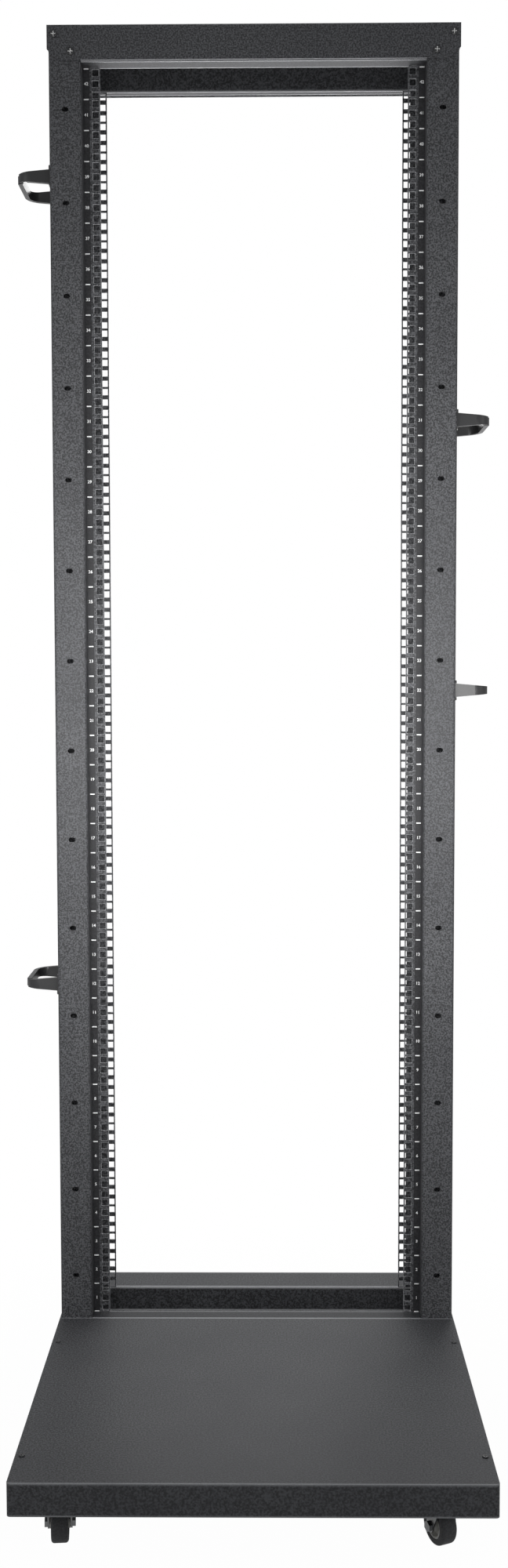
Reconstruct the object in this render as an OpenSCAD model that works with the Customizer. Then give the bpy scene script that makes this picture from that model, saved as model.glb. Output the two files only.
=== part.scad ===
// Two post open frame rack on a low steel base with four swivel casters.
// Millimetres, +Z up, the front faces -Y. The floor is z = 0 and the origin lies
// on it under the middle of the base.

/* [Rack Units] */
// Number of rack units between the base and the header
rack_units = 42; // [12:1:45]
// Height of one rack unit
unit_h = 44.45; // [44:0.05:46]
// Side of one square mounting hole
hole_side = 9.5; // [8:0.1:10]
// Clear width between the left and right rails
bay_w = 451.6; // [446:0.1:456]
// Distance from a rail's inner edge to the middle of its holes
hole_edge = 6.75; // [6:0.05:9]
// Width of a rail that shows beside its post
rail_face_w = 25.2; // [22:0.1:32]

/* [Posts] */
// Width of the front face of a post
post_w = 47; // [42:1:52]
// Depth of a post, front face to rear face
post_d = 152; // [130:1:180]
// Sheet thickness of the posts
post_t = 2; // [1.5:0.1:3]
// Outer radius of the bends in a post
bend_r = 4; // [3.5:0.5:7]
// Distance from a post's face back to the rail behind it
rail_setback = 25; // [18:1:32]
// Sheet thickness of the rails
rail_t = 2; // [1.5:0.1:3]
// Depth of the leg that fastens a rail to its post's lip
rail_leg_d = 20; // [12:1:24]
// Length of one slot in a post's face
slot_l = 10; // [8:0.5:14]
// Width of one slot in a post's face
slot_w = 7; // [5:0.5:7]
// Rack units from one slot to the next
slot_every = 3; // [2:1:6]

/* [Header] */
// Height of the header cover
header_h = 52; // [48:1:80]
// Sheet thickness of the header cover
header_t = 2; // [1.5:0.1:3]
// How far the cover's sides come down
header_side = 31; // [20:1:36]
// Cut corner at the cover's lower ends
header_chamfer = 16; // [8:1:18]
// Sheet thickness of the top and bottom channels
tie_t = 2; // [1.5:0.1:3]
// Depth of the top channel's recess
tie_recess = 42; // [30:1:44]
// Length of the rear foot of the top channel
tie_rear_foot = 14; // [8:1:24]

/* [Base] */
// Depth of the base
base_d = 700; // [660:1:860]
// Length of the base in front of the posts
base_front = 510; // [440:1:540]
// Height of the base's sides, top sheet included
base_h = 42; // [36:1:60]
// Sheet thickness of the base
base_t = 2; // [1.5:0.1:3]
// Radius of the base's corners
base_corner = 5; // [4:1:12]
// Width of the front cross member
member_w = 80; // [70:1:110]
// Distance from the front edge of the base to that cross member
member_inset = 20; // [6:1:24]
// Width of the flange of a side member
side_member_w = 26; // [16:1:36]

/* [Casters] */
// Height of a caster, floor to the top of its plate
caster_h = 72; // [70:1:90]
// Diameter of a wheel
wheel_d = 50; // [40:1:54]
// Width of a wheel
wheel_w = 22; // [18:1:26]
// Diameter of a wheel's hub
hub_d = 34; // [28:1:36]
// Side of a caster's square plate
caster_plate = 54; // [50:1:64]
// Thickness of a caster's plate
caster_plate_t = 2.5; // [2:0.1:4]
// Sheet thickness of a fork
fork_t = 2; // [1.5:0.1:3]
// Distance from a fork's cheek to the wheel
cheek_gap = 2.5; // [2:0.1:4]
// Distance from the swivel axis back to the axle
trail = 18; // [12:1:22]
// Distance from the base's side to a swivel axis
caster_side = 57; // [50:1:80]
// Distance from the base's front or rear edge to a swivel axis
caster_inset = 60; // [50:1:64]
// Diameter of an axle
axle_d = 8; // [6:0.5:9]
// Angle at rest of the left front caster
left_yaw = 5; // [0:1:45]
// Angle at rest of the right front caster
right_yaw = 25; // [0:1:45]

/* [Cable Rings] */
// How far a ring stands out from its post
ring_reach = 52; // [36:1:60]
// Length of a ring's loop, front arm to rear arm
ring_d = 112; // [90:1:124]
// Thickness of a ring's bar
ring_bar = 7; // [5:0.5:9]
// Height of a ring's arm at its flange
ring_root_h = 20; // [16:1:26]
// Height of a ring's arm at its tip
ring_tip_h = 11.5; // [8:0.5:14]
// Height of a ring's flange
ring_flange_h = 30; // [28:1:40]
// Thickness of a ring's flange
ring_flange_t = 3; // [2:0.5:5]
// Width of the slit that lets a cable into the ring
ring_slit = 6; // [4:0.5:9]
// Height of the upper left ring above the base, in rack units
ring_upper_left = 38.5; // [36:0.5:39]
// Height of the upper right ring above the base, in rack units
ring_upper_right = 30.5; // [26:0.5:34]
// Height of the lower right ring above the base, in rack units
ring_lower_right = 21.5; // [16:0.5:25]
// Height of the lower left ring above the base, in rack units
ring_lower_left = 11.5; // [6:0.5:15]

/* [Hidden] */
$fn = 48;

powder = "dimgray";
dark_powder = "darkslategray";
black_plastic = "black";
zinc = "silver";
tread = "dimgray";
hub_plastic = "ivory";

cut = 1;                    // how far a cutter runs past a face
fit = 0.3;                  // clearance where sheet passes through sheet

// Heights
skirt_z = caster_h;
base_top = caster_h + base_h;
rail_h = rack_units * unit_h;
bay_top = base_top + rail_h;
top_z = bay_top + header_h;
floor_z = skirt_z + base_t; // upper face of the cross members, where the posts stand

// Places across the rack, from the bay outwards
rail_in = bay_w / 2;
hole_x = rail_in + hole_edge;
post_in = rail_in + rail_face_w;
post_out = post_in + post_w;
base_w = 2 * (post_out + base_t);

// Places from front to back
base_y = -base_d / 2;
face_y = base_y + base_front;
back_y = face_y + post_d;
front_rail_y = face_y + rail_setback;
rear_rail_y = back_y - rail_setback;
mid_y = (face_y + back_y) / 2;
lip_d = rail_setback + rail_t + rail_leg_d;
post_h = top_z - header_t - floor_z;

// Holes of one rack unit, above its lower edge
hole_steps = [unit_h / 7, unit_h / 2, unit_h * 6 / 7];
slot_count = floor((rack_units - slot_every / 2) / slot_every) + 1;

// Casters
axle_z = wheel_d / 2;
cheek_in = wheel_w / 2 + cheek_gap;
pin_d = 10;                 // swivel pin
pin_head_d = 17;
pin_head_h = 3;
swivel_gap = 0.4;           // between a caster's plate and its fork
fork_top_z = caster_h - caster_plate_t - swivel_gap;
skirt_drop = 10;            // height of the fork's sloping collar
skirt_top_r = 24;
skirt_low_r = cheek_in + fork_t;
plate_hole_d = 6;
plate_hole_edge = 8;
bore_gap = 0.2;             // between an axle and its hub

// ---- Flat shapes -----------------------------------------------------------

// A rectangle with round corners
module round_rect(w, d, r) {
    square([w, d - 2 * r], center = true);
    square([w - 2 * r, d], center = true);
    for (x = [-1, 1], y = [-1, 1]) translate([x * (w / 2 - r), y * (d / 2 - r)]) circle(r);
}

// The section of the right post: a bent channel whose mouth is open between its lips
module post_section() {
    translate([(post_in + post_out) / 2, mid_y]) difference() {
        round_rect(post_w, post_d, bend_r);
        round_rect(post_w - 2 * post_t, post_d - 2 * post_t, bend_r - post_t);
        translate([-post_w / 2 - cut, lip_d - post_d / 2])
            square([post_t + 2 * cut, post_d - 2 * lip_d]);
    }
}

// A rack's square holes for the right hand column, seen from the front
module hole_column() {
    for (unit = [0 : rack_units - 1], step = hole_steps)
        translate([hole_x - hole_side / 2, unit * unit_h + step - hole_side / 2])
            square(hole_side);
}

// A channel with a recess and a foot on each side; depth runs along x, the recess along +y
module hat_section(depth, recess, front_foot, rear_foot, t) {
    difference() {
        translate([-t, 0]) square([depth + 2 * t, recess]);
        translate([0, -cut]) square([depth, recess - t + cut]);
    }
    translate([-front_foot, 0]) square([front_foot, t]);
    translate([depth, 0]) square([rear_foot, t]);
}

// ---- Frame -----------------------------------------------------------------

module at_side(side) {
    if (side > 0) children();
    else mirror([1, 0, 0]) children();
}

module post(side) {
    slot_x = (post_in + post_out) / 2;
    color(powder) at_side(side) difference() {
        translate([0, 0, floor_z]) linear_extrude(post_h) post_section();
        for (i = [0 : slot_count - 1])
            translate([slot_x, face_y - cut, base_top + (i + 0.5) * slot_every * unit_h])
                rotate([-90, 0, 0]) slot_cutter(post_d + 2 * cut);
    }
}

module slot_cutter(length) {
    straight = slot_l - slot_w;
    linear_extrude(length) {
        square([straight, slot_w], center = true);
        for (x = [-1, 1]) translate([x * straight / 2, 0]) circle(slot_w / 2);
    }
}

// An angle: a flange with the holes beside the post, and a leg back along the post's lip
module front_rail(side) {
    color(powder) at_side(side) {
        translate([0, front_rail_y + rail_t, base_top]) rotate([90, 0, 0])
            linear_extrude(rail_t) difference() {
                translate([rail_in, 0]) square([rail_face_w, rail_h]);
                hole_column();
            }
        translate([post_in - rail_t, front_rail_y, base_top])
            cube([rail_t, rail_t + rail_leg_d, rail_h]);
    }
}

module rear_rail(side) {
    translate([0, 2 * mid_y, 0]) mirror([0, 1, 0]) front_rail(side);
}

// One half of the cover, front plate with cut lower corners, top and sides
module header_half() {
    w = post_out + header_t;
    translate([0, face_y, 0]) rotate([90, 0, 0]) linear_extrude(header_t) polygon([
        [-w, top_z], [w, top_z], [w, bay_top + tie_t + header_chamfer],
        [w - header_chamfer, bay_top + tie_t],
        [header_chamfer - w, bay_top + tie_t], [-w, bay_top + tie_t + header_chamfer],
    ]);
    translate([-w, face_y, top_z - header_t]) cube([2 * w, post_d / 2, header_t]);
    for (x = [-w, w - header_t]) translate([x, face_y, top_z - header_side])
        cube([header_t, post_d / 2, header_side]);
}

module header_cover() {
    color(powder) {
        header_half();
        translate([0, 2 * mid_y, 0]) mirror([0, 1, 0]) header_half();
    }
}

module top_channel() {
    recess_d = rear_rail_y - front_rail_y - 2 * rail_t;
    color(dark_powder) translate([-post_in, front_rail_y + rail_t, bay_top])
        rotate([90, 0, 90]) linear_extrude(2 * post_in)
            hat_section(recess_d, tie_recess, rail_setback + rail_t, tie_rear_foot, tie_t);
}

module bottom_channel() {
    recess_d = rear_rail_y - front_rail_y - 2 * rail_t;
    color(dark_powder) translate([-post_in, front_rail_y + rail_t, base_top])
        mirror([0, 0, 1]) rotate([90, 0, 90]) linear_extrude(2 * post_in)
            hat_section(recess_d, base_top - floor_z, rail_setback + rail_t,
                        tie_t + rail_t, tie_t);
}

// ---- Base ------------------------------------------------------------------

module base_tray() {
    channel_back = rear_rail_y + tie_t + fit;
    color(powder) difference() {
        translate([0, 0, skirt_z]) linear_extrude(base_h) round_rect(base_w, base_d, base_corner);
        translate([0, 0, skirt_z - cut]) linear_extrude(base_h - base_t + cut)
            round_rect(base_w - 2 * base_t, base_d - 2 * base_t, base_corner - base_t);
        for (x = [-post_out, post_in - fit]) translate([x, face_y - fit, base_top - base_t - cut])
            cube([post_w + fit, post_d + 2 * fit, base_t + 2 * cut]);
        translate([-post_in - fit, face_y - fit, base_top - base_t - cut])
            cube([2 * (post_in + fit), channel_back - face_y + fit, base_t + 2 * cut]);
    }
}

// A channel on its back, from side to side under the top sheet
module cross_member(y, w) {
    color(dark_powder) translate([-post_out, y, skirt_z]) difference() {
        cube([2 * post_out, w, base_h - base_t]);
        translate([-cut, base_t, base_t])
            cube([2 * (post_out + cut), w - 2 * base_t, base_h]);
    }
}

rear_member_y = face_y - 2 * base_t;
rear_member_end = -base_y - base_corner - base_t;
module front_cross_member() cross_member(base_y + member_inset, member_w);
module rear_cross_member() cross_member(rear_member_y, rear_member_end - rear_member_y);

// An angle along each side, between the two cross members
module side_member(side) {
    from_y = base_y + member_inset + member_w;
    length = rear_member_y - from_y;
    under_z = base_top - base_t;
    color(dark_powder) at_side(side) {
        translate([post_out - base_t, from_y, skirt_z]) cube([base_t, length, base_h - base_t]);
        translate([post_out - side_member_w, from_y, under_z - base_t])
            cube([side_member_w, length, base_t]);
    }
}

// ---- Cable rings -----------------------------------------------------------

// A loop in a level plane whose arms grow thinner outwards, on a flange
module cable_ring(side, units) {
    loop_reach = ring_reach - ring_flange_t;
    color(black_plastic) at_side(side)
        translate([post_out, mid_y, base_top + units * unit_h]) {
            rotate([0, 90, 0]) linear_extrude(ring_flange_t)
                round_rect(ring_flange_h, ring_d + 2 * ring_bar, 4);
            translate([ring_flange_t, 0, 0]) intersection() {
                linear_extrude(ring_root_h, center = true) difference() {
                    loop_outline(loop_reach, ring_d, 3 * ring_bar);
                    translate([-cut, 0]) loop_outline(loop_reach - ring_bar + cut,
                                                      ring_d - 2 * ring_bar, 2 * ring_bar);
                    translate([loop_reach - ring_bar / 2, ring_bar * 2 - ring_d / 2])
                        rotate(35) square([4 * ring_bar, ring_slit], center = true);
                }
                rotate([90, 0, 0]) linear_extrude(ring_d + 2 * cut, center = true) polygon([
                    [0, -ring_root_h / 2], [loop_reach, -ring_tip_h / 2],
                    [loop_reach, ring_tip_h / 2], [0, ring_root_h / 2],
                ]);
            }
        }
}

// A rectangle from x = 0 whose two far corners are round
module loop_outline(reach, depth, r) {
    translate([0, -depth / 2]) square([reach - r, depth]);
    translate([0, r - depth / 2]) square([reach, depth - 2 * r]);
    for (y = [-1, 1]) translate([reach - r, y * (depth / 2 - r)]) circle(r);
}

// ---- Casters ---------------------------------------------------------------

// Puts a caster's part at one corner of the base, turned about its swivel axis
module at_corner(side, end, yaw) {
    translate([side * (base_w / 2 - caster_side), end * (base_d / 2 - caster_inset), 0])
        rotate(yaw) children();
}

module caster_mount(side, end) {
    hole_at = caster_plate / 2 - plate_hole_edge;
    pin_end = fork_top_z - fork_t - swivel_gap;
    color(zinc) at_corner(side, end, 0) {
        translate([0, 0, caster_h - caster_plate_t]) linear_extrude(caster_plate_t)
            difference() {
                round_rect(caster_plate, caster_plate, 5);
                for (x = [-1, 1], y = [-1, 1])
                    translate([x * hole_at, y * hole_at]) circle(plate_hole_d / 2);
            }
        translate([0, 0, pin_end]) cylinder(d = pin_d, h = caster_h - caster_plate_t - pin_end);
        translate([0, 0, pin_end - pin_head_h]) cylinder(d = pin_head_d, h = pin_head_h);
    }
}

module cheek() {
    shoulder = skirt_top_r - fork_t;
    axle_boss = axle_d / 2 + 4;
    rotate([90, 0, 90]) linear_extrude(fork_t) {
        polygon([
            [-shoulder / 2, fork_top_z - fork_t], [trail - axle_boss, axle_z],
            [trail + axle_boss, axle_z], [shoulder, fork_top_z - fork_t],
        ]);
        translate([trail, axle_z]) circle(axle_boss);
    }
}

// The fork with its round top, two cheeks and the axle with its bolt head and nut
module caster_fork(side, end, yaw) {
    head_h = 4;
    color(zinc) at_corner(side, end, yaw) {
        difference() {
            union() {
                translate([0, 0, fork_top_z - skirt_drop])
                    cylinder(r1 = skirt_low_r, r2 = skirt_top_r, h = skirt_drop);
                translate([cheek_in, 0, 0]) cheek();
                translate([-cheek_in - fork_t, 0, 0]) cheek();
            }
            translate([0, 0, fork_top_z - skirt_drop - cut])
                cylinder(r = cheek_in, h = skirt_drop + cut - fork_t);
            translate([0, 0, fork_top_z - fork_t - cut])
                cylinder(d = pin_d + 2 * fit, h = fork_t + 2 * cut);
        }
        translate([-cheek_in - fork_t, trail, axle_z]) rotate([0, 90, 0])
            cylinder(d = axle_d, h = 2 * (cheek_in + fork_t));
        for (x = [-cheek_in - fork_t - head_h, cheek_in + fork_t])
            translate([x, trail, axle_z]) rotate([0, 90, 0])
                cylinder(d = axle_d + 6, h = head_h, $fn = 6);
    }
}

module on_axle(side, end, yaw) {
    at_corner(side, end, yaw) translate([0, trail, axle_z]) rotate([0, 90, 0]) children();
}

module wheel_hub(side, end, yaw) {
    boss_w = 2 * (cheek_in - 2 * bore_gap);
    rim_t = 3;
    web_w = wheel_w / 3;
    color(hub_plastic) on_axle(side, end, yaw) difference() {
        union() {
            cylinder(d = hub_d, h = wheel_w - 2 * cut, center = true);
            cylinder(d = axle_d + 8, h = boss_w, center = true);
        }
        for (z = [-1, 1]) translate([0, 0, z * (web_w + wheel_w) / 2]) difference() {
            cylinder(d = hub_d - 2 * rim_t, h = wheel_w, center = true);
            cylinder(d = axle_d + 8, h = wheel_w + 2 * cut, center = true);
        }
        cylinder(d = axle_d + 2 * bore_gap, h = boss_w + 2 * cut, center = true);
    }
}

module wheel_tyre(side, end, yaw) {
    shoulder_r = 4;
    color(tread) on_axle(side, end, yaw) rotate_extrude($fn = 96) {
        translate([hub_d / 2, -wheel_w / 2]) square([wheel_d / 2 - hub_d / 2 - shoulder_r, wheel_w]);
        translate([hub_d / 2, shoulder_r - wheel_w / 2])
            square([wheel_d / 2 - hub_d / 2, wheel_w - 2 * shoulder_r]);
        for (y = [-1, 1]) translate([wheel_d / 2 - shoulder_r, y * (wheel_w / 2 - shoulder_r)])
            circle(shoulder_r);
    }
}

// ---- Nodes -----------------------------------------------------------------

post(-1);  // left_post
post(1);  // right_post
front_rail(-1);  // left_front_rail
front_rail(1);  // right_front_rail
rear_rail(-1);  // left_rear_rail
rear_rail(1);  // right_rear_rail
header_cover();
top_channel();
bottom_channel();
base_tray();
front_cross_member();
rear_cross_member();
side_member(-1);  // left_side_member
side_member(1);  // right_side_member
cable_ring(-1, ring_upper_left);
cable_ring(-1, ring_lower_left);
cable_ring(1, ring_upper_right);
cable_ring(1, ring_lower_right);
caster_mount(-1, -1);  // plate_front_left
caster_mount(1, -1);  // plate_front_right
caster_mount(-1, 1);  // plate_rear_left
caster_mount(1, 1);  // plate_rear_right
caster_fork(-1, -1, left_yaw);  // fork_front_left
caster_fork(1, -1, right_yaw);  // fork_front_right
caster_fork(-1, 1, 0);  // fork_rear_left
caster_fork(1, 1, 0);  // fork_rear_right
wheel_hub(-1, -1, left_yaw);  // hub_front_left
wheel_hub(1, -1, right_yaw);  // hub_front_right
wheel_hub(-1, 1, 0);  // hub_rear_left
wheel_hub(1, 1, 0);  // hub_rear_right
wheel_tyre(-1, -1, left_yaw);  // tyre_front_left
wheel_tyre(1, -1, right_yaw);  // tyre_front_right
wheel_tyre(-1, 1, 0);  // tyre_rear_left
wheel_tyre(1, 1, 0);  // tyre_rear_right
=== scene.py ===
"""Finish, prints, small fasteners, lights and camera for the two post open frame rack."""

import math

import bmesh
import bpy
from mathutils import Matrix, Vector


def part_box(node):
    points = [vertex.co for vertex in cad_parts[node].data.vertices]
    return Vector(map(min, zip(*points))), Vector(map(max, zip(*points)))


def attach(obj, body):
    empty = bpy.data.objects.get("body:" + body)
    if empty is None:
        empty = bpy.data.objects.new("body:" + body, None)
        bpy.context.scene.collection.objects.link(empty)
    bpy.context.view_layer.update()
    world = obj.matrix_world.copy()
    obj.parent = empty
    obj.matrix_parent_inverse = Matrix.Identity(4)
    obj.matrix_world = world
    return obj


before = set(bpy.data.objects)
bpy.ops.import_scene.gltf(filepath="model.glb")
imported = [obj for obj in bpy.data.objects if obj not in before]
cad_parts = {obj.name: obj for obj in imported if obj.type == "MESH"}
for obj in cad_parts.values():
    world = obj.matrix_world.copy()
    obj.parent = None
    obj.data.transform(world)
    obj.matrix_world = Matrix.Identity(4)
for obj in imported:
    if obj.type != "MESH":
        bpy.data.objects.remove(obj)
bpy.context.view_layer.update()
MM = 0.001

# ---- Sizes taken from the frame ---------------------------------------------

RACK_UNITS = 42
right_rail_low, right_rail_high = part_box("right_front_rail")
post_low, post_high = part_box("right_post")
cover_low, cover_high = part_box("header_cover")
tray_low, tray_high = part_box("base_tray")
UNIT = (right_rail_high.z - right_rail_low.z) / RACK_UNITS
MID_Y = (post_low.y + post_high.y) / 2

# ---- Materials --------------------------------------------------------------


def new_material(name):
    material = bpy.data.materials.new(name)
    material.use_nodes = True
    tree = material.node_tree
    return material, tree, tree.nodes["Principled BSDF"]


def noise(tree, scale, detail=2.0, stretch=(1, 1, 1)):
    """A noise texture in object space; scale is in cells a metre."""
    coords = tree.nodes.new("ShaderNodeTexCoord")
    mapping = tree.nodes.new("ShaderNodeMapping")
    mapping.inputs["Scale"].default_value = stretch
    texture = tree.nodes.new("ShaderNodeTexNoise")
    texture.inputs["Scale"].default_value = scale
    texture.inputs["Detail"].default_value = detail
    tree.links.new(coords.outputs["Object"], mapping.inputs["Vector"])
    tree.links.new(mapping.outputs["Vector"], texture.inputs["Vector"])
    return texture.outputs["Fac"]


def ramp(tree, factor, dark, light, low=0.35, high=0.65):
    node = tree.nodes.new("ShaderNodeValToRGB")
    node.color_ramp.elements[0].position = low
    node.color_ramp.elements[1].position = high
    node.color_ramp.elements[0].color = (*dark, 1)
    node.color_ramp.elements[1].color = (*light, 1)
    tree.links.new(factor, node.inputs["Fac"])
    return node.outputs["Color"]


def add_bump(tree, shader, height, strength, distance):
    bump = tree.nodes.new("ShaderNodeBump")
    bump.inputs["Strength"].default_value = strength
    bump.inputs["Distance"].default_value = distance
    tree.links.new(height, bump.inputs["Height"])
    tree.links.new(bump.outputs["Normal"], shader.inputs["Normal"])


def blend_colors(tree, first, second, mode, amount):
    mix = tree.nodes.new("ShaderNodeMixRGB")
    mix.blend_type = mode
    mix.inputs["Fac"].default_value = amount
    tree.links.new(first, mix.inputs["Color1"])
    tree.links.new(second, mix.inputs["Color2"])
    return mix.outputs["Color"]


def bend_highlight_share(tree, half_width, radius):
    """1 along the level edges that run across the rack within half_width of its middle; this is the mask
    of the painted bend highlight.
    """
    rounded = tree.nodes.new("ShaderNodeBevel")
    rounded.samples = 6
    rounded.inputs["Radius"].default_value = radius
    parts = tree.nodes.new("ShaderNodeSeparateXYZ")
    tree.links.new(rounded.outputs["Normal"], parts.inputs["Vector"])
    product = tree.nodes.new("ShaderNodeMath")
    product.operation = "MULTIPLY"
    tree.links.new(parts.outputs["Y"], product.inputs[0])
    tree.links.new(parts.outputs["Z"], product.inputs[1])
    size = tree.nodes.new("ShaderNodeMath")
    size.operation = "ABSOLUTE"
    tree.links.new(product.outputs[0], size.inputs[0])
    share = tree.nodes.new("ShaderNodeMapRange")
    share.inputs["From Min"].default_value = 0.12
    share.inputs["From Max"].default_value = 0.42
    tree.links.new(size.outputs[0], share.inputs["Value"])
    place = tree.nodes.new("ShaderNodeSeparateXYZ")
    coords = tree.nodes.new("ShaderNodeTexCoord")
    tree.links.new(coords.outputs["Object"], place.inputs["Vector"])
    across = tree.nodes.new("ShaderNodeMath")
    across.operation = "ABSOLUTE"
    tree.links.new(place.outputs["X"], across.inputs[0])
    inside = tree.nodes.new("ShaderNodeMath")
    inside.operation = "LESS_THAN"
    inside.inputs[1].default_value = half_width
    tree.links.new(across.outputs[0], inside.inputs[0])
    limited = tree.nodes.new("ShaderNodeMath")
    limited.operation = "MULTIPLY"
    tree.links.new(share.outputs["Result"], limited.inputs[0])
    tree.links.new(inside.outputs[0], limited.inputs[1])
    return limited.outputs[0]


def powder_coat(name, shade, grain=0.6, bend_highlight=None, half_width=1.0, radius=4.5 * MM):
    """Fine textured powder coat: light and dark specks over slow, faint clouds, with a pale painted
    highlight at bends.
    """
    material, tree, shader = new_material(name)
    fine = noise(tree, 430, 2.0)
    clouds = noise(tree, 9, 2.0)
    dark = tuple(c * (1 - grain) for c in shade)
    light = tuple(c * (1 + grain) for c in shade)
    color = ramp(tree, fine, dark, light, 0.4, 0.62)
    # Painted highlight along bends, mixed in by the bevel mask.
    if bend_highlight:
        mix = tree.nodes.new("ShaderNodeMixRGB")
        mix.inputs["Color2"].default_value = (*bend_highlight, 1)
        tree.links.new(bend_highlight_share(tree, half_width, radius), mix.inputs["Fac"])
        tree.links.new(color, mix.inputs["Color1"])
        color = mix.outputs["Color"]
    cloudy = ramp(tree, clouds, (0.86, 0.86, 0.87), (1, 1, 1), 0.3, 0.7)
    tree.links.new(blend_colors(tree, color, cloudy, "MULTIPLY", 1.0), shader.inputs["Base Color"])
    rough = ramp(tree, fine, (0.5,) * 3, (0.66,) * 3)
    tree.links.new(rough, shader.inputs["Roughness"])
    shader.inputs["Specular IOR Level"].default_value = 0.3
    add_bump(tree, shader, fine, 0.3, 0.0005)
    return material


def moulded_plastic(name, shade, roughness=0.42):
    material, tree, shader = new_material(name)
    grain = noise(tree, 900, 2.0)
    dark = tuple(c * 0.8 for c in shade)
    tree.links.new(ramp(tree, grain, dark, shade), shader.inputs["Base Color"])
    shader.inputs["Roughness"].default_value = roughness
    add_bump(tree, shader, grain, 0.12, 0.0003)
    return material


def zinc_plate(name="zinc_plate", tone=1.0):
    """Zinc with short drawn streaks and soft blotches; a tone below 1 gives a darker copy, used as
    painted shade.
    """
    material, tree, shader = new_material(name)
    streaks = noise(tree, 240, 4.0, (1, 1, 0.12))
    blotches = noise(tree, 70, 2.0)
    dull = tuple(c * tone for c in (0.42, 0.43, 0.44))
    bright = tuple(c * tone for c in (0.66, 0.67, 0.68))
    metal = ramp(tree, streaks, dull, bright)
    tint = ramp(tree, blotches, (0.86, 0.87, 0.9), (1, 0.99, 0.96))
    tree.links.new(blend_colors(tree, metal, tint, "MULTIPLY", 0.7), shader.inputs["Base Color"])
    tree.links.new(ramp(tree, streaks, (0.26,) * 3, (0.42,) * 3), shader.inputs["Roughness"])
    shader.inputs["Metallic"].default_value = 1.0
    add_bump(tree, shader, streaks, 0.08, 0.0003)
    return material


def tread_rubber():
    material, tree, shader = new_material("wheel_tread")
    grain = noise(tree, 420, 3.0)
    scuffs = noise(tree, 60, 3.0)
    base = ramp(tree, grain, (0.05, 0.05, 0.052), (0.095, 0.095, 0.1))
    scuffed = ramp(tree, scuffs, (0.8,) * 3, (1.0,) * 3)
    tree.links.new(blend_colors(tree, base, scuffed, "MULTIPLY", 1.0), shader.inputs["Base Color"])
    shader.inputs["Roughness"].default_value = 0.7
    add_bump(tree, shader, grain, 0.25, 0.0004)
    return material


def print_ink():
    """White screen print, a little thin where its own fine grain is high."""
    material, tree, shader = new_material("print_ink")
    grain = noise(tree, 900, 2.0)
    tree.links.new(ramp(tree, grain, (0.74, 0.75, 0.75), (0.9, 0.9, 0.9)), shader.inputs["Base Color"])
    shader.inputs["Roughness"].default_value = 0.6
    return material


COAT = powder_coat("powder_coat", (0.066, 0.067, 0.071))
# The paler edge coat is a painted highlight on bevelled rail edges, where light catches the edge.
COAT_EDGE_HIGHLIGHT = powder_coat("powder_coat_painted_edge_highlight", (0.34, 0.345, 0.355), 0.25)
# The pale bend colour is a painted highlight for the light that bends in the sheet catch.
BEND_HIGHLIGHT = (0.42, 0.425, 0.435)
COAT_BEND_HIGHLIGHT = powder_coat("powder_coat_painted_bend_highlight", (0.066, 0.067, 0.071), bend_highlight=BEND_HIGHLIGHT)
COAT_HEADER = powder_coat(
    "powder_coat_header_painted_highlight",
    (0.066, 0.067, 0.071),
    bend_highlight=BEND_HIGHLIGHT,
    half_width=post_low.x,
    radius=1.8 * MM,
)
# A darker copy of the coat for the channels, side members and cross members: painted shade for these
# inner, recessed parts, with the painted bend highlight as well.
COAT_PAINTED_SHADE = powder_coat("powder_coat_painted_shade", (0.036, 0.037, 0.04), bend_highlight=BEND_HIGHLIGHT)
COAT_BAND = powder_coat("powder_coat_band", (0.022, 0.022, 0.024), 0.3)
RING = moulded_plastic("ring_plastic", (0.022, 0.022, 0.023), 0.38)
ZINC = zinc_plate()
# A darker copy of the zinc for caster plates and forks: painted shade.
ZINC_PAINTED_SHADE = zinc_plate("zinc_painted_shade", 0.36)
HUB = moulded_plastic("hub_plastic", (0.84, 0.83, 0.78), 0.45)
TREAD = tread_rubber()
INK = print_ink()
BLACK_SCREW = moulded_plastic("screw_black", (0.03, 0.03, 0.032), 0.3)
NUT = zinc_plate("nut_zinc")
# The pale recess colour is a painted glint in the cross screws.
SCREW_PAINTED_GLINT = moulded_plastic("screw_recess_painted_glint", (0.86, 0.86, 0.85), 0.35)


def dress(node, material, edge=None, bevel=0.0, segments=2):
    """Gives a CAD node its material and, with bevel, a soft edge; given an edge coat, the edge takes that
    paler coat as a painted highlight.
    """
    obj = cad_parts[node]
    obj.data.materials.clear()
    obj.data.materials.append(material)
    if not bevel:
        return
    obj.data.materials.append(edge or material)
    weld = obj.modifiers.new("weld", "WELD")
    weld.merge_threshold = 0.00002
    soften = obj.modifiers.new("soften", "BEVEL")
    soften.width = bevel
    soften.segments = segments
    soften.limit_method = "ANGLE"
    soften.angle_limit = math.radians(50)
    soften.material = 1 if edge else -1
    soften.harden_normals = False


SIDES = ("left", "right")
ENDS = ("front", "rear")
for side in SIDES:
    dress(f"{side}_post", COAT)
    for end in ENDS:
        # Rail edges take the painted highlight coat on their bevels.
        dress(f"{side}_{end}_rail", COAT, COAT_EDGE_HIGHLIGHT, 0.35 * MM, 1)
        # Caster plates and forks take the darker zinc, painted shade.
        dress(f"plate_{end}_{side}", ZINC_PAINTED_SHADE)
        dress(f"fork_{end}_{side}", ZINC_PAINTED_SHADE)
        dress(f"hub_{end}_{side}", HUB)
        dress(f"tyre_{end}_{side}", TREAD)
    # The side members take the darker coat, painted shade.
    dress(f"{side}_side_member", COAT_PAINTED_SHADE)
    dress(f"ring_upper_{side}", RING, None, 1.2 * MM, 3)
    dress(f"ring_lower_{side}", RING, None, 1.2 * MM, 3)
# The header cover and base tray take the painted bend highlight; the channels and cross members take it
# too.
dress("header_cover", COAT_HEADER)
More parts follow.
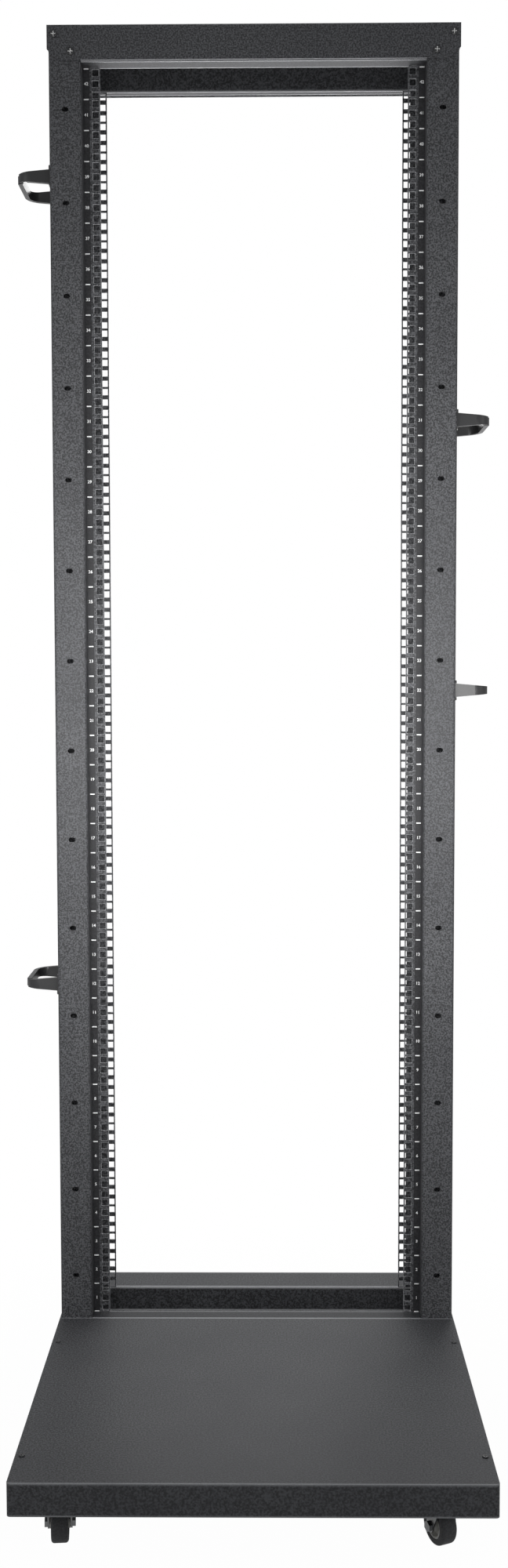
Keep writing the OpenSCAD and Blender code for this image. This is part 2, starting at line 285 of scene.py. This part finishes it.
# Channels and cross members take the darker coat, painted shade.
dress("top_channel", COAT_PAINTED_SHADE)
dress("bottom_channel", COAT_PAINTED_SHADE)
dress("base_tray", COAT_BEND_HIGHLIGHT)
dress("front_cross_member", COAT_PAINTED_SHADE)
dress("rear_cross_member", COAT_PAINTED_SHADE)

# ---- Making meshes ----------------------------------------------------------


def mesh_object(name, mesh, body, materials):
    obj = bpy.data.objects.new(name, mesh)
    bpy.context.scene.collection.objects.link(obj)
    for material in materials:
        mesh.materials.append(material)
    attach(obj, body)
    return obj


def add_box(bm, low, high):
    size = Vector(high) - Vector(low)
    middle = (Vector(high) + Vector(low)) / 2
    matrix = Matrix.Translation(middle) @ Matrix.Diagonal((*size, 1))
    bmesh.ops.create_cube(bm, size=1.0, matrix=matrix)


def digits_mesh(text, height):
    """Extruded digits, centred on the origin in the XZ plane and facing -Y."""
    curve = bpy.data.curves.new("digits", "FONT")
    curve.body = text
    curve.size = height * 1.42
    curve.extrude = 0.08 * MM
    curve.offset = 0.12 * MM
    curve.resolution_u = 3
    curve.align_x = "CENTER"
    curve.align_y = "CENTER"
    obj = bpy.data.objects.new("digits", curve)
    bpy.context.scene.collection.objects.link(obj)
    bpy.context.view_layer.update()
    mesh = bpy.data.meshes.new_from_object(obj.evaluated_get(bpy.context.evaluated_depsgraph_get()))
    bpy.data.objects.remove(obj)
    mesh.transform(Matrix.Rotation(math.radians(90), 4, "X"))
    return mesh


TICK_LENGTH = 7.0 * MM
TICK_HEIGHT = 1.7 * MM
INK_HEIGHT = 0.12 * MM
DIGIT_HEIGHT = 4.4 * MM
MARK_FROM_HOLE = 13.5 * MM
HOLE_EDGE = 6.75 * MM
BAND_WIDTH = 10.0 * MM
BAND_HEIGHT = 0.05 * MM


def unit_marks(name, rail, facing, sideways):
    """A dark band on one rail's face, with ticks between the rack units and their numbers."""
    low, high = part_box(rail)
    inner = low.x if sideways > 0 else high.x
    x = inner + sideways * (HOLE_EDGE + MARK_FROM_HOLE)
    face = low.y if facing < 0 else high.y
    bm = bmesh.new()
    add_box(
        bm,
        (x - BAND_WIDTH / 2, min(face, face + facing * BAND_HEIGHT), low.z),
        (x + BAND_WIDTH / 2, max(face, face + facing * BAND_HEIGHT), high.z),
    )
    bm.faces.ensure_lookup_table()
    band_faces = len(bm.faces)
    for unit in range(RACK_UNITS + 1):
        z = low.z + unit * UNIT
        z = min(max(z, low.z + TICK_HEIGHT / 2), high.z - TICK_HEIGHT / 2)
        add_box(
            bm,
            (x - TICK_LENGTH / 2, min(face, face + facing * INK_HEIGHT), z - TICK_HEIGHT / 2),
            (x + TICK_LENGTH / 2, max(face, face + facing * INK_HEIGHT), z + TICK_HEIGHT / 2),
        )
    for unit in range(RACK_UNITS):
        digits = digits_mesh(str(unit + 1), DIGIT_HEIGHT)
        turn = Matrix.Identity(4) if facing < 0 else Matrix.Rotation(math.pi, 4, "Z")
        place = Matrix.Translation((x, face + facing * 0.05 * MM, low.z + (unit + 0.5) * UNIT))
        digits.transform(place @ turn)
        bm.from_mesh(digits)
        bpy.data.meshes.remove(digits)
    for face in bm.faces:
        face.material_index = 0
    bm.faces.ensure_lookup_table()
    for face in bm.faces[:band_faces]:
        face.material_index = 1
    mesh = bpy.data.meshes.new(name)
    bm.to_mesh(mesh)
    bm.free()
    return mesh_object(name, mesh, "frame", [INK, COAT_BAND])


for side, sideways in (("left", -1), ("right", 1)):
    unit_marks(f"unit_marks_{side}_front", f"{side}_front_rail", -1, sideways)
    unit_marks(f"unit_marks_{side}_rear", f"{side}_rear_rail", 1, sideways)


def revolve(bm, profile, steps):
    """Turns a list of (radius, height) about Z; radius 0 closes an end."""
    rings = []
    for radius, height in profile:
        if radius == 0:
            rings.append([bm.verts.new((0, 0, height))])
            continue
        ring = []
        for i in range(steps):
            angle = 2 * math.pi * i / steps
            ring.append(bm.verts.new((radius * math.cos(angle), radius * math.sin(angle), height)))
        rings.append(ring)
    for first, second in zip(rings, rings[1:]):
        for i in range(steps):
            a, b = first[i % len(first)], first[(i + 1) % len(first)]
            c, d = second[(i + 1) % len(second)], second[i % len(second)]
            corners = [v for n, v in enumerate((a, b, c, d)) if v not in (a, b, c, d)[:n]]
            if len(corners) > 2:
                bm.faces.new(corners)


def cross_screw(diameter, height):
    """A pan head with a cross recess, its seat at z = 0 and its head towards +Z; the recess faces take
    the second material, which paints a glint where it is pale.
    """
    radius = diameter / 2
    bm = bmesh.new()
    arc = [math.radians(a) for a in (0, 18, 36, 54, 72)]
    dome = [(radius * (0.72 + 0.28 * math.cos(a)), height * (0.35 + 0.65 * math.sin(a))) for a in arc]
    revolve(bm, [(0, 0), (radius, 0), *dome, (0, height * 1.02)], 28)
    bmesh.ops.recalc_face_normals(bm, faces=bm.faces)
    head = bpy.data.meshes.new("screw_head")
    bm.to_mesh(head)
    bm.free()
    cutter_bm = bmesh.new()
    arm, half = radius * 0.84, radius * 0.15
    for turned in (False, True):
        along, across = (half, arm) if turned else (arm, half)
        ends = [(-along, -across), (along, -across), (along, across), (-along, across)]
        top = [cutter_bm.verts.new((x, y, height * 1.4)) for x, y in ends]
        low = [cutter_bm.verts.new((x * 0.55, y * 0.55, height * 0.35)) for x, y in ends]
        cutter_bm.faces.new(top)
        cutter_bm.faces.new(low[::-1])
        for i in range(4):
            cutter_bm.faces.new((top[i], low[i], low[(i + 1) % 4], top[(i + 1) % 4]))
    bmesh.ops.recalc_face_normals(cutter_bm, faces=cutter_bm.faces)
    cutter = bpy.data.meshes.new("cross")
    cutter_bm.to_mesh(cutter)
    cutter_bm.free()
    objects = [bpy.data.objects.new(m.name, m) for m in (head, cutter)]
    for obj in objects:
        bpy.context.scene.collection.objects.link(obj)
    cut = objects[0].modifiers.new("cut", "BOOLEAN")
    cut.object = objects[1]
    cut.operation = "DIFFERENCE"
    cut.solver = "EXACT"
    cut.use_self = True
    bpy.context.view_layer.update()
    graph = bpy.context.evaluated_depsgraph_get()
    result = bpy.data.meshes.new_from_object(objects[0].evaluated_get(graph))
    for obj in objects:
        bpy.data.objects.remove(obj)
    reach = radius * 0.88
    # Faces in the recess take the second material, the painted glint.
    for face in result.polygons:
        inside = face.center.xy.length < reach
        face.material_index = 1 if inside and (face.normal.z < 0.7 or face.center.z < height * 0.5) else 0
        if face.center.z < height * 0.01:
            face.material_index = 0
    return result


def hex_bolt(across, height):
    """A hexagon head on a round washer, its seat at z = 0."""
    bm = bmesh.new()
    washer = across * 0.64
    revolve(bm, [(0, 0), (washer, 0), (washer, height * 0.2), (0, height * 0.2)], 32)
    corner = across / math.sqrt(3)
    flank = [(corner, height * 0.2), (corner, height * 0.82), (corner * 0.86, height)]
    revolve(bm, [(0, height * 0.2), *flank, (0, height)], 6)
    bmesh.ops.recalc_face_normals(bm, faces=bm.faces)
    mesh = bpy.data.meshes.new("hex_bolt")
    bm.to_mesh(mesh)
    bm.free()
    return mesh


def scatter(name, template, places, body, materials):
    """One joined mesh with a copy of template at each (position, outward direction)."""
    bm = bmesh.new()
    for position, outward in places:
        copy = template.copy()
        turn = Vector((0, 0, 1)).rotation_difference(Vector(outward)).to_matrix().to_4x4()
        copy.transform(Matrix.Translation(position) @ turn)
        bm.from_mesh(copy)
        bpy.data.meshes.remove(copy)
    mesh = bpy.data.meshes.new(name)
    bm.to_mesh(mesh)
    bm.free()
    return mesh_object(name, mesh, body, materials)


# Screws of the header cover, two at each end of both faces
SCREW = cross_screw(10.5 * MM, 2.6 * MM)
header_places = []
for across, down in ((10 * MM, 13 * MM), (34.5 * MM, 38 * MM)):
    for sign in (-1, 1):
        x = sign * (cover_high.x - across)
        header_places.append(((x, cover_low.y, cover_high.z - down), (0, -1, 0)))
        header_places.append(((x, cover_high.y, cover_high.z - down), (0, 1, 0)))
# Header screws show the painted glint in their recess.
scatter("header_screws", SCREW, header_places, "frame", [BLACK_SCREW, SCREW_PAINTED_GLINT])

# Screws near the sides of the base's top
BASE_SCREW = cross_screw(8.0 * MM, 2.0 * MM)
base_places = []
for sign in (-1, 1):
    for ahead in (90 * MM, 440 * MM):
        x = sign * (tray_high.x - 9 * MM)
        base_places.append(((x, post_low.y - ahead, tray_high.z), (0, 0, 1)))
scatter("base_screws", BASE_SCREW, base_places, "frame", [BLACK_SCREW, BLACK_SCREW])

# Bolts that hold each post's foot through the base's side
BOLT = hex_bolt(12 * MM, 4.5 * MM)
bolt_places = []
for sign in (-1, 1):
    bolt_places.append(((sign * tray_high.x, MID_Y, tray_high.z - 26 * MM), (sign, 0, 0)))
scatter("foot_bolts", BOLT, bolt_places, "frame", [BLACK_SCREW])

# Nuts under the caster plates
PLATE_NUT = hex_bolt(9 * MM, 3.0 * MM)
nut_places = []
for side in SIDES:
    for end in ENDS:
        low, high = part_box(f"plate_{end}_{side}")
        thickness = 2.5 * MM
        centre = (low + high) / 2
        reach = (high.x - low.x) / 2 - 8 * MM
        for dx in (-1, 1):
            for dy in (-1, 1):
                spot = (centre.x + dx * reach, centre.y + dy * reach, high.z - thickness)
                nut_places.append((spot, (0, 0, -1)))
scatter("caster_nuts", PLATE_NUT, nut_places, "frame", [NUT])

# Screws that hold each cable ring's flange to its post
RING_SCREW = cross_screw(6.5 * MM, 1.8 * MM)
ring_places = []
for name, sign in (("upper_left", -1), ("lower_left", -1), ("upper_right", 1), ("lower_right", 1)):
    low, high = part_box(f"ring_{name}")
    x = (low.x if sign > 0 else high.x) + sign * 3 * MM
    for y in (low.y + 16 * MM + 8 * MM, high.y - 24 * MM):
        ring_places.append(((x, y, (low.z + high.z) / 2), (sign, 0, 0)))
# Ring screws show the painted glint in their recess.
scatter("ring_screws", RING_SCREW, ring_places, "frame", [BLACK_SCREW, SCREW_PAINTED_GLINT])

# ---- Camera -----------------------------------------------------------------

IMAGE_HEIGHT = 2000
FOCAL_PIXELS = 2070
SENSOR = 36.0
camera_data = bpy.data.cameras.new("camera")
camera_data.sensor_width = SENSOR
camera_data.lens = FOCAL_PIXELS / IMAGE_HEIGHT * SENSOR
camera = bpy.data.objects.new("camera", camera_data)
bpy.context.scene.collection.objects.link(camera)
camera.location = (0.0234, -2.2564, 1.0928)
pitch, yaw, roll = (math.radians(a) for a in (3.835, -0.598, -0.129))
camera.matrix_world = (
    Matrix.Translation(camera.location)
    @ Matrix.Rotation(-yaw, 4, "Z")
    @ Matrix.Rotation(math.pi / 2 - pitch, 4, "X")
    @ Matrix.Rotation(roll, 4, "Z")
)
bpy.context.scene.camera = camera

# ---- Floor, world and lights ------------------------------------------------


def seen_rays(tree, glossy):
    """1 for camera rays and the given share for glossy and transmission rays."""
    path = tree.nodes.new("ShaderNodeLightPath")
    bounced = tree.nodes.new("ShaderNodeMath")
    bounced.operation = "MAXIMUM"
    tree.links.new(path.outputs["Is Glossy Ray"], bounced.inputs[0])
    tree.links.new(path.outputs["Is Transmission Ray"], bounced.inputs[1])
    dimmed = tree.nodes.new("ShaderNodeMath")
    dimmed.operation = "MULTIPLY"
    dimmed.inputs[1].default_value = glossy
    tree.links.new(bounced.outputs[0], dimmed.inputs[0])
    seen = tree.nodes.new("ShaderNodeMath")
    seen.operation = "MAXIMUM"
    tree.links.new(path.outputs["Is Camera Ray"], seen.inputs[0])
    tree.links.new(dimmed.outputs[0], seen.inputs[1])
    return seen.outputs[0]


def camera_white(tree, plain, near, reach):
    """White for the rays that see the backdrop; near is its share beside the object."""
    coords = tree.nodes.new("ShaderNodeTexCoord")
    length = tree.nodes.new("ShaderNodeVectorMath")
    length.operation = "LENGTH"
    tree.links.new(coords.outputs["Object"], length.inputs[0])
    spread = tree.nodes.new("ShaderNodeMapRange")
    spread.inputs["From Min"].default_value = reach * 0.4
    spread.inputs["From Max"].default_value = reach
    spread.inputs["To Min"].default_value = near
    spread.inputs["To Max"].default_value = 1.0
    tree.links.new(length.outputs["Value"], spread.inputs["Value"])
    share = tree.nodes.new("ShaderNodeMath")
    share.operation = "MULTIPLY"
    tree.links.new(seen_rays(tree, 0.6), share.inputs[0])
    tree.links.new(spread.outputs["Result"], share.inputs[1])
    white = tree.nodes.new("ShaderNodeEmission")
    mix = tree.nodes.new("ShaderNodeMixShader")
    tree.links.new(share.outputs[0], mix.inputs["Fac"])
    tree.links.new(plain, mix.inputs[1])
    tree.links.new(white.outputs["Emission"], mix.inputs[2])
    return mix.outputs["Shader"]


floor_mesh = bpy.data.meshes.new("floor")
floor_bm = bmesh.new()
bmesh.ops.create_grid(floor_bm, x_segments=1, y_segments=1, size=9.0)
floor_bm.to_mesh(floor_mesh)
floor_bm.free()
floor = bpy.data.objects.new("floor", floor_mesh)
bpy.context.scene.collection.objects.link(floor)
floor_material, floor_tree, floor_shader = new_material("floor")
floor_shader.inputs["Base Color"].default_value = (0.5, 0.5, 0.5, 1)
floor_shader.inputs["Roughness"].default_value = 0.9
floor_output = floor_tree.nodes["Material Output"]
floor_tree.links.new(
    camera_white(floor_tree, floor_shader.outputs["BSDF"], 0.985, 0.9), floor_output.inputs["Surface"]
)
floor_mesh.materials.append(floor_material)

world = bpy.data.worlds.new("world")
bpy.context.scene.world = world
world.use_nodes = True
sky = world.node_tree.nodes["Background"]
sky.inputs["Color"].default_value = (0.93, 0.96, 1.0, 1)
sky.inputs["Strength"].default_value = 0.22
world_tree = world.node_tree
white_sky = world_tree.nodes.new("ShaderNodeBackground")
white_sky.inputs["Color"].default_value = (1, 1, 1, 1)
choose = world_tree.nodes.new("ShaderNodeMixShader")
world_tree.links.new(seen_rays(world_tree, 0.35), choose.inputs["Fac"])
world_tree.links.new(sky.outputs["Background"], choose.inputs[1])
world_tree.links.new(white_sky.outputs["Background"], choose.inputs[2])
world_tree.links.new(choose.outputs["Shader"], world_tree.nodes["World Output"].inputs["Surface"])


def softbox(name, location, target, size, power, spread=180):
    data = bpy.data.lights.new(name, "AREA")
    data.shape = "RECTANGLE"
    data.size, data.size_y = size
    data.energy = power
    data.spread = math.radians(spread)
    lamp = bpy.data.objects.new(name, data)
    bpy.context.scene.collection.objects.link(lamp)
    lamp.location = location
    aim = Vector(target) - Vector(location)
    lamp.rotation_euler = aim.to_track_quat("-Z", "Y").to_euler()
    lamp.visible_camera = False
    return lamp


softbox("front_key", (0.0, -0.85, 1.04), (0, 0.16, 1.02), (1.1, 0.5), 10, 124)
softbox("left_fill", (-2.4, -1.6, 1.9), (0, 0.1, 1.0), (1.4, 2.0), 8)
softbox("right_fill", (2.4, -1.0, 1.7), (0, 0.1, 1.0), (1.2, 2.0), 7)
softbox("top_soft", (0, 0.7, 3.0), (0, 0.1, 0.1), (1.2, 0.8), 6)
softbox("back_soft", (0.3, 2.4, 2.4), (0, 0.25, 0.8), (1.8, 1.4), 30)
softbox("low_back", (0, 1.0, 0.5), (0, 0.2, 2.0), (0.9, 0.6), 8, 70)

bpy.context.scene.view_settings.view_transform = "Standard"
